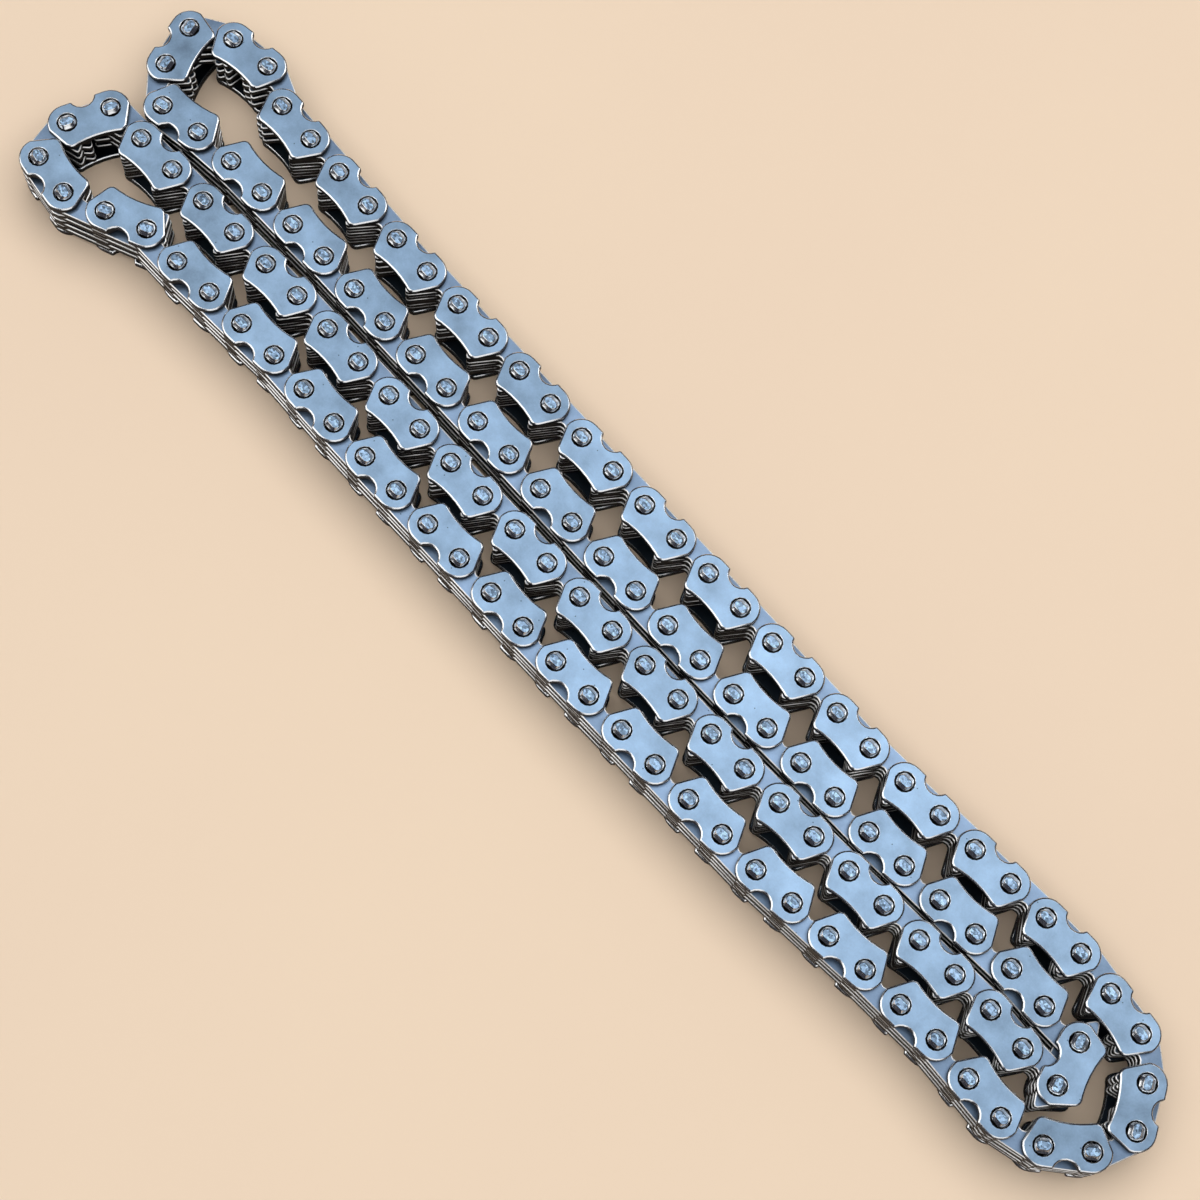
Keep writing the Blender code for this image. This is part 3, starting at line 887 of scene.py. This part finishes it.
def speck_mask(sheet, place, specks):
    """1, less the given share on a few small round specks."""
    cells = sheet.add("ShaderNodeTexVoronoi", voronoi_dimensions="2D")
    cells.inputs["Scale"].default_value = SPECK_SCALE
    sheet.join(place, cells.inputs["Vector"])
    spot = sheet.math("LESS_THAN", cells.outputs["Distance"], SPECK_RADIUS)
    chosen = sheet.add("ShaderNodeSeparateColor")
    sheet.join(cells.outputs["Color"], chosen.inputs[0])
    spot = sheet.math("MULTIPLY", spot, sheet.math("GREATER_THAN", chosen.outputs[1], SPECK_RARITY))
    return sheet.math("SUBTRACT", 1.0, sheet.math("MULTIPLY", spot, specks))


def finish_material(name, colour, bump, metal=1.0, **values):
    """Steel, or a non-metal where metal is 0, as on the near-black sides whose dark is partly painted shade,
    with the finish's own values such as Polish or Grain.
    """
    material = bpy.data.materials.new(name)
    material.use_nodes = True
    sheet = NodeSheet(material.node_tree)
    surface = material.node_tree.nodes["Principled BSDF"]
    surface.inputs["Metallic"].default_value = metal
    surface.inputs["Specular IOR Level"].default_value = NONMETAL_GLOSS
    finish = sheet.add("ShaderNodeGroup", node_tree=tumbled_finish())
    finish.inputs["Steel"].default_value = (*colour, 1.0)
    for socket, value in values.items():
        finish.inputs[socket].default_value = value
    sheet.join(finish.outputs["Colour"], surface.inputs["Base Color"])
    sheet.join(finish.outputs["Roughness"], surface.inputs["Roughness"])
    if bump:
        relief = sheet.add("ShaderNodeBump")
        relief.inputs["Distance"].default_value = bump
        sheet.join(finish.outputs["Height"], relief.inputs["Height"])
        sheet.join(relief.outputs["Normal"], surface.inputs["Normal"])
    return material


def shared_finish(name, colour, bump, metal=1.0, **values):
    """A finish that several kinds of piece use, made once."""
    if name in bpy.data.materials:
        return bpy.data.materials[name]
    return finish_material(name, colour, bump, metal, **values)


def plate_steel(kind, face_colour, colours):
    """Face, rim and side finishes of one kind of plate, in slot order."""
    # Faces: painted shade on the deep layers and painted sheen through each copy's tone
    face = finish_material(
        f"satin_{kind}", face_colour, bump=0.004 * MM,
        Variation=0.6, Grain=4200.0, Polish=0.26, Spread=0.16, Depth=0.88, Specks=0.6,
    )
    if kind == KINDS["G"]:
        rim = shared_finish(
            "rolled_rim", colours.rim, bump=0.0,
            Variation=0.05, Grain=2600.0, Polish=0.16, Spread=0.1,
        )
    else:
        # Part-diffuse near-white rim: partly painted highlight
        rim = shared_finish(
            "laced_rim", colours.laced_rim, bump=0.0, metal=0.55,
            Variation=0.05, Grain=2600.0, Polish=0.24, Spread=0.1,
        )
    # Sides near black, partly painted shade
    side = shared_finish(
        "sheared_side", colours.side, bump=0.0, metal=0.0,
        Variation=0.3, Grain=1500.0, Polish=0.32, Spread=0.25,
    )
    return face, rim, side


def pin_steel(colours):
    """Riveted face, bright shoulder and shank finishes of the pins, in slot order."""
    face = finish_material(
        "riveted_end", colours.pin, bump=0.05 * MM,
        Variation=0.2, Mottle=1.3, Grain=3400.0, Polish=0.2, Spread=0.3,
    )
    shoulder = finish_material(
        "pin_shoulder", colours.rim, bump=0.005 * MM,
        Variation=0.08, Mottle=0.2, Grain=1800.0, Polish=0.12, Spread=0.12,
    )
    # Shank near black, partly painted shade in the ring round the pin
    shank = finish_material(
        "pin_shank", colours.side, bump=0.0, metal=0.0,
        Variation=0.2, Grain=1200.0, Polish=0.25, Spread=0.2,
    )
    return face, shoulder, shank


def tinted(colour, tint):
    """A colour times a tint, channel by channel."""
    return tuple(channel * share for channel, share in zip(colour, tint))


def table_material(colour):
    """Matt table with faint, broad blotches."""
    material = bpy.data.materials.new("pale_table")
    material.use_nodes = True
    sheet = NodeSheet(material.node_tree)
    surface = material.node_tree.nodes["Principled BSDF"]
    surface.inputs["Roughness"].default_value = TABLE_ROUGHNESS
    surface.inputs["Specular IOR Level"].default_value = TABLE_GLOSS
    place = sheet.add("ShaderNodeTexCoord").outputs["Object"]
    blotch = sheet.noise(place, BLOTCH_SCALE, detail=4.0)
    dull = tinted(colour, DULL_TINT)
    clear = tinted(colour, CLEAR_TINT)
    sheet.join(colour_mix(sheet, blotch, dull, clear), surface.inputs["Base Color"])
    return material


def build_table(colour):
    """One broad square that the chain lies on."""
    mesh = bmesh.new()
    bmesh.ops.create_grid(mesh, x_segments=1, y_segments=1, size=TABLE_HALF)
    bmesh.ops.translate(mesh, verts=mesh.verts[:], vec=(0.0, 0.0, CAD_BOX[0][2] - TABLE_GAP))
    table = bpy.data.objects.new("table", stored(mesh, "table"))
    bpy.context.scene.collection.objects.link(table)
    table.data.materials.append(table_material(colour))


def look_from(bearing, elevation):
    """Unit vector out to a lamp or the camera, from its bearing and height in radians."""
    return Euler((0.0, -elevation, bearing)).to_matrix() @ Vector((1.0, 0.0, 0.0))


def area_light(name, power, colour, size, bearing, elevation):
    """A soft lamp, size wide and high, that looks at the chain from a bearing and a height in degrees."""
    lamp = bpy.data.lights.new(name, "AREA")
    lamp.energy = power
    lamp.color = colour
    lamp.shape = "RECTANGLE"
    lamp.size, lamp.size_y = size
    holder = bpy.data.objects.new(name, lamp)
    bpy.context.scene.collection.objects.link(holder)
    way = look_from(math.radians(bearing), math.radians(elevation))
    holder.location = way * LAMP_DISTANCE
    holder.rotation_mode = "QUATERNION"
    holder.rotation_quaternion = way.to_track_quat("Z", "Y")
    return holder


def reflector(name, radiance, colour, size, bearing, elevation):
    """A card that only shows in the steel, as bright as a wall of the given radiance."""
    power = radiance * math.pi * size[0] * size[1]
    area_light(name, power, colour, size, bearing, elevation).visible_diffuse = False


def build_world(fill):
    """Pale walls for the eye, a dim room for reflections, and a fill for the light itself."""
    world = bpy.data.worlds.new("studio")
    bpy.context.scene.world = world
    world.use_nodes = True
    sheet = NodeSheet(world.node_tree)
    back = world.node_tree.nodes["Background"]
    path = sheet.add("ShaderNodeLightPath")
    light = tinted((fill, fill, fill), FILL_TINT)
    seen = colour_mix(sheet, path.outputs["Is Glossy Ray"], light, ROOM_COLOUR)
    colour = colour_mix(sheet, path.outputs["Is Camera Ray"], seen, WALL_COLOUR)
    sheet.join(colour, back.inputs["Color"])


def build_camera(stage):
    """Camera that looks down on the chain from its aim, turned about its own axis."""
    data = bpy.data.cameras.new("camera")
    data.lens = stage.lens
    data.sensor_width = 36.0
    data.clip_start = 0.01
    camera = bpy.data.objects.new("camera", data)
    bpy.context.scene.collection.objects.link(camera)
    way = look_from(stage.azimuth, stage.elevation)
    camera.location = Vector(stage.aim) + way * stage.distance
    camera.rotation_mode = "QUATERNION"
    camera.rotation_quaternion = way.to_track_quat("Z", "Y") @ Quaternion((0.0, 0.0, 1.0), stage.roll)
    bpy.context.scene.camera = camera


class CHAIN_OT_guide_plates(bpy.types.Operator):
    """Add the notched guide plates of every guide link"""

    bl_idname = "chain.guide_plates"
    bl_label = "Guide Plates"
    bl_options = {"REGISTER", "UNDO"}

    def execute(self, context):
        sizes = context.scene.chain_plates
        pattern = plate_pattern(sizes, notched_outline(sizes), GUIDE_HOLE_SIDES, sizes.guide_rim)
        build_plates(KINDS["G"], pattern, context.scene.chain_colours.guide, 0.0)
        return {"FINISHED"}


class CHAIN_OT_mid_plates(bpy.types.Operator):
    """Add the three mid plates of every guide link"""

    bl_idname = "chain.mid_plates"
    bl_label = "Mid Plates"
    bl_options = {"REGISTER", "UNDO"}

    def execute(self, context):
        build_laced(KINDS["M"])
        return {"FINISHED"}


class CHAIN_OT_inner_plates(bpy.types.Operator):
    """Add the four plates of every inner link"""

    bl_idname = "chain.inner_plates"
    bl_label = "Inner Plates"
    bl_options = {"REGISTER", "UNDO"}

    def execute(self, context):
        build_laced(KINDS["I"])
        return {"FINISHED"}


class CHAIN_OT_pins(bpy.types.Operator):
    """Add the riveted pins of every guide link"""

    bl_idname = "chain.pins"
    bl_label = "Pins"
    bl_options = {"REGISTER", "UNDO"}

    def execute(self, context):
        build_pins()
        return {"FINISHED"}


class CHAIN_OT_stage(bpy.types.Operator):
    """Add the table, the light and the camera"""

    bl_idname = "chain.stage"
    bl_label = "Stage"
    bl_options = {"REGISTER", "UNDO"}

    def execute(self, context):
        stage = context.scene.chain_stage
        build_table(context.scene.chain_colours.table)
        area_light("overhead", stage.overhead, *OVERHEAD).visible_glossy = False
        for card, facts in CARDS.items():
            reflector(f"{card}_card", getattr(stage, card), *facts)
        build_world(stage.fill)
        build_camera(stage)
        context.scene.view_settings.view_transform = "Standard"
        return {"FINISHED"}


OPERATORS = (
    CHAIN_OT_guide_plates,
    CHAIN_OT_mid_plates,
    CHAIN_OT_inner_plates,
    CHAIN_OT_pins,
    CHAIN_OT_stage,
)


class CHAIN_PT_panel(bpy.types.Panel):
    """Sizes, colours and steps of the folded timing chain"""

    bl_label = "Timing Chain"
    bl_idname = "CHAIN_PT_panel"
    bl_space_type = "VIEW_3D"
    bl_region_type = "UI"
    bl_category = "Timing Chain"

    def draw(self, context):
        for operator in OPERATORS:
            self.layout.operator(operator.bl_idname)
        for name in SETTINGS:
            box = self.layout.box()
            group = getattr(context.scene, name)
            for key in group.bl_rna.properties.keys():
                if key not in ("rna_type", "name"):
                    box.prop(group, key)


SETTINGS = {
    "chain_plates": ChainPlateSizes,
    "chain_pins": ChainPinSizes,
    "chain_colours": ChainColours,
    "chain_stage": ChainStage,
}


def register():
    """Register the settings, the operators and the panel."""
    for group in SETTINGS.values():
        bpy.utils.register_class(group)
    for name, group in SETTINGS.items():
        setattr(bpy.types.Scene, name, bpy.props.PointerProperty(type=group))
    for operator in OPERATORS:
        bpy.utils.register_class(operator)
    bpy.utils.register_class(CHAIN_PT_panel)


def unregister():
    """Take out all that register put in."""
    bpy.utils.unregister_class(CHAIN_PT_panel)
    for operator in reversed(OPERATORS):
        bpy.utils.unregister_class(operator)
    for name in SETTINGS:
        delattr(bpy.types.Scene, name)
    for group in reversed(SETTINGS.values()):
        bpy.utils.unregister_class(group)


def main():
    """Run every step in order."""
    register()
    bpy.ops.chain.guide_plates()
    bpy.ops.chain.mid_plates()
    bpy.ops.chain.inner_plates()
    bpy.ops.chain.pins()
    bpy.ops.chain.stage()


if __name__ == "__main__":
    main()
